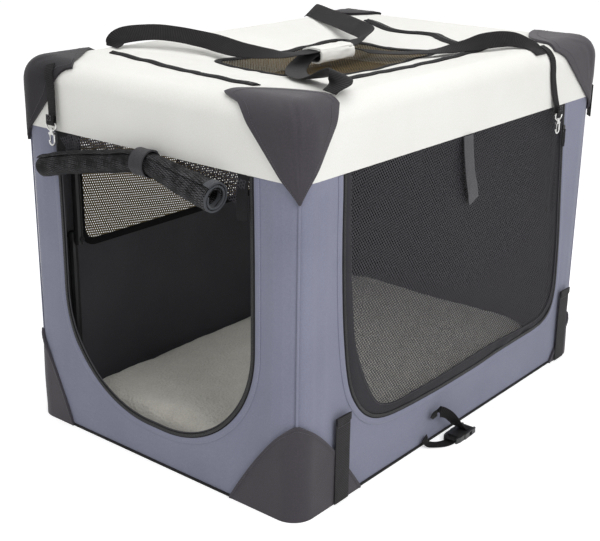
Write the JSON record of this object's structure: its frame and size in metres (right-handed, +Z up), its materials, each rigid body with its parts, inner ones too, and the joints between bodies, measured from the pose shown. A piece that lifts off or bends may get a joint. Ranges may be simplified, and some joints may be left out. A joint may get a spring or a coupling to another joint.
{
  "type": "folding dog crate",
  "caption": "Soft-sided folding dog crate on a steel-tube frame, with an open front doorway, net door and windows, a sagging roof with carry handles and a mat.",
  "frame": {"origin": "middle of the underside, on the ground plane between the four walls", "axes": "+Z up, +Y from the front doorway to the rear along the crate's length, +X towards the long side with the net door"},
  "size_m": [0.6625, 0.9555, 0.6854],
  "materials": {
    "steel_tube": "black powder coat",
    "grey_cloth": "matte woven polyester, grey blue",
    "cream_cloth": "matte woven polyester, cream",
    "black_cloth": "matte woven polyester, black",
    "black_net": "open woven net, black",
    "webbing": "ribbed polypropylene webbing",
    "tie_tape": "dark grey hook and loop tape",
    "board": "dark pressed board",
    "fleece": "short fleece, beige",
    "plastic": "moulded acetal",
    "nickel": "nickel plate"
  },
  "bodies": {
    "base": {"base_front_rail": "steel_tube", "base_rear_rail": "steel_tube", "base_left_rail": "steel_tube", "base_right_rail": "steel_tube", "front_wall": "grey_cloth", "rear_wall": "grey_cloth", "left_wall": "grey_cloth", "right_wall": "grey_cloth", "floor_sheet": "black_cloth", "bottom_patch_front_right": "black_cloth", "bottom_patch_front_left": "black_cloth", "bottom_patch_rear_right": "black_cloth", "bottom_patch_rear_left": "black_cloth", "side_door_net": "black_net", "left_window_net": "black_net", "side_tab_front": "webbing", "side_tab_rear": "webbing", "buckle_socket_strap": "webbing", "floor_board": "board", "mat": "fleece", "buckle_socket": "plastic", "side_zip_slider": "nickel"},
    "lower_post_front_right": {"lower_post_front_right": "steel_tube"},
    "lower_post_front_left": {"lower_post_front_left": "steel_tube"},
    "lower_post_rear_right": {"lower_post_rear_right": "steel_tube"},
    "lower_post_rear_left": {"lower_post_rear_left": "steel_tube"},
    "upper_post_front_right": {"upper_post_front_right": "steel_tube"},
    "upper_post_front_left": {"upper_post_front_left": "steel_tube"},
    "upper_post_rear_right": {"upper_post_rear_right": "steel_tube"},
    "upper_post_rear_left": {"upper_post_rear_left": "steel_tube"},
    "top": {"top_front_rail": "steel_tube", "top_rear_rail": "steel_tube", "top_left_rail": "steel_tube", "top_right_rail": "steel_tube", "roof_cover": "cream_cloth", "roof_window_net": "black_net", "top_patch_front_right": "black_cloth", "top_patch_front_left": "black_cloth", "top_patch_rear_right": "black_cloth", "top_patch_rear_left": "black_cloth", "left_handle": "webbing", "right_handle": "webbing", "handle_grip": "cream_cloth", "door_roll": "black_net", "door_roll_tie": "tie_tape", "side_tie_strap": "tie_tape", "front_hook_strap": "webbing", "side_hook_strap": "webbing", "rear_strap_end": "webbing"},
    "front_hook_eye": {"front_hook_eye": "nickel"},
    "front_hook_swivel": {"front_hook_swivel": "nickel"},
    "front_hook_gate": {"front_hook_gate": "nickel"},
    "side_hook_eye": {"side_hook_eye": "nickel"},
    "side_hook_swivel": {"side_hook_swivel": "nickel"},
    "side_hook_gate": {"side_hook_gate": "nickel"},
    "roof_zip_slider": {"roof_zip_slider": "nickel"},
    "buckle_plug": {"buckle_plug": "plastic", "buckle_plug_strap": "webbing"}
  },
  "joints": [
    {"name": "frame_fold", "type": "hinge", "parent": "base", "child": "lower_post_front_right", "pos_m": [0.28676, -0.36946, 0.034], "axis": [-1, 0, 0], "range_deg": [0, 81], "deforming": ["front_wall", "rear_wall", "left_wall", "right_wall", "side_door_net", "left_window_net", "bottom_patch_front_right", "bottom_patch_front_left", "bottom_patch_rear_right", "bottom_patch_rear_left", "side_tab_front", "side_tab_rear", "side_zip_slider", "door_roll", "door_roll_tie", "side_tie_strap"]},
    {"name": "knee_front_right", "type": "hinge", "parent": "lower_post_front_right", "child": "upper_post_front_right", "pos_m": [0.27016, -0.36946, 0.32128], "axis": [-1, 0, 0], "range_deg": [-162, 0]},
    {"name": "lower_post_front_left_pivot", "type": "hinge", "parent": "base", "child": "lower_post_front_left", "pos_m": [-0.28676, -0.36946, 0.034], "axis": [-1, 0, 0], "range_deg": [0, 81]},
    {"name": "knee_front_left", "type": "hinge", "parent": "lower_post_front_left", "child": "upper_post_front_left", "pos_m": [-0.27016, -0.36946, 0.32128], "axis": [-1, 0, 0], "range_deg": [-162, 0]},
    {"name": "lower_post_rear_right_pivot", "type": "hinge", "parent": "base", "child": "lower_post_rear_right", "pos_m": [0.28676, 0.36946, 0.034], "axis": [1, 0, 0], "range_deg": [0, 81]},
    {"name": "knee_rear_right", "type": "hinge", "parent": "lower_post_rear_right", "child": "upper_post_rear_right", "pos_m": [0.27016, 0.36946, 0.32128], "axis": [1, 0, 0], "range_deg": [-162, 0]},
    {"name": "lower_post_rear_left_pivot", "type": "hinge", "parent": "base", "child": "lower_post_rear_left", "pos_m": [-0.28676, 0.36946, 0.034], "axis": [1, 0, 0], "range_deg": [0, 81]},
    {"name": "knee_rear_left", "type": "hinge", "parent": "lower_post_rear_left", "child": "upper_post_rear_left", "pos_m": [-0.27016, 0.36946, 0.32128], "axis": [1, 0, 0], "range_deg": [-162, 0]},
    {"name": "top_pivot_front_right", "type": "hinge", "parent": "upper_post_front_right", "child": "top", "pos_m": [0.27016, -0.36946, 0.60856], "axis": [-1, 0, 0], "range_deg": [0, 81]},
    {"name": "front_hook_swing", "type": "hinge", "parent": "top", "child": "front_hook_eye", "pos_m": [-0.212, -0.4615, 0.5545], "axis": [-1, 0, 0], "range_deg": [0, 80]},
    {"name": "front_hook_turn", "type": "hinge", "parent": "front_hook_eye", "child": "front_hook_swivel", "pos_m": [-0.212, -0.4615, 0.5392], "axis": [0, 0, 1], "continuous": true},
    {"name": "front_hook_gate_hinge", "type": "hinge", "parent": "front_hook_swivel", "child": "front_hook_gate", "pos_m": [-0.2166, -0.4615, 0.5372], "axis": [0, -1, 0], "range_deg": [0, 25], "stiffness_Nm_per_rad": 0.004, "springref_deg": -5.73},
    {"name": "side_hook_swing", "type": "hinge", "parent": "top", "child": "side_hook_eye", "pos_m": [0.3165, 0.283, 0.53], "axis": [0, -1, 0], "range_deg": [0, 80]},
    {"name": "side_hook_turn", "type": "hinge", "parent": "side_hook_eye", "child": "side_hook_swivel", "pos_m": [0.3165, 0.283, 0.5147], "axis": [0, 0, 1], "continuous": true},
    {"name": "side_hook_gate_hinge", "type": "hinge", "parent": "side_hook_swivel", "child": "side_hook_gate", "pos_m": [0.3165, 0.2784, 0.5127], "axis": [1, 0, 0], "range_deg": [0, 25], "stiffness_Nm_per_rad": 0.004, "springref_deg": -5.73},
    {"name": "roof_zip_travel", "type": "slide", "parent": "top", "child": "roof_zip_slider", "axis": [-0.9879, 0.1551, 0], "range_m": [0, 0.25]},
    {"name": "buckle_unclip", "type": "slide", "parent": "base", "child": "buckle_plug", "axis": [0, -1, 0], "range_m": [0, 0.025]}
  ],
  "couplings": [
    {"joint": "knee_front_right", "follows": "frame_fold", "ratio": -2},
    {"joint": "lower_post_front_left_pivot", "follows": "frame_fold", "ratio": 1},
    {"joint": "knee_front_left", "follows": "frame_fold", "ratio": -2},
    {"joint": "lower_post_rear_right_pivot", "follows": "frame_fold", "ratio": 1},
    {"joint": "knee_rear_right", "follows": "frame_fold", "ratio": -2},
    {"joint": "lower_post_rear_left_pivot", "follows": "frame_fold", "ratio": 1},
    {"joint": "knee_rear_left", "follows": "frame_fold", "ratio": -2},
    {"joint": "top_pivot_front_right", "follows": "frame_fold", "ratio": 1}
  ]
}
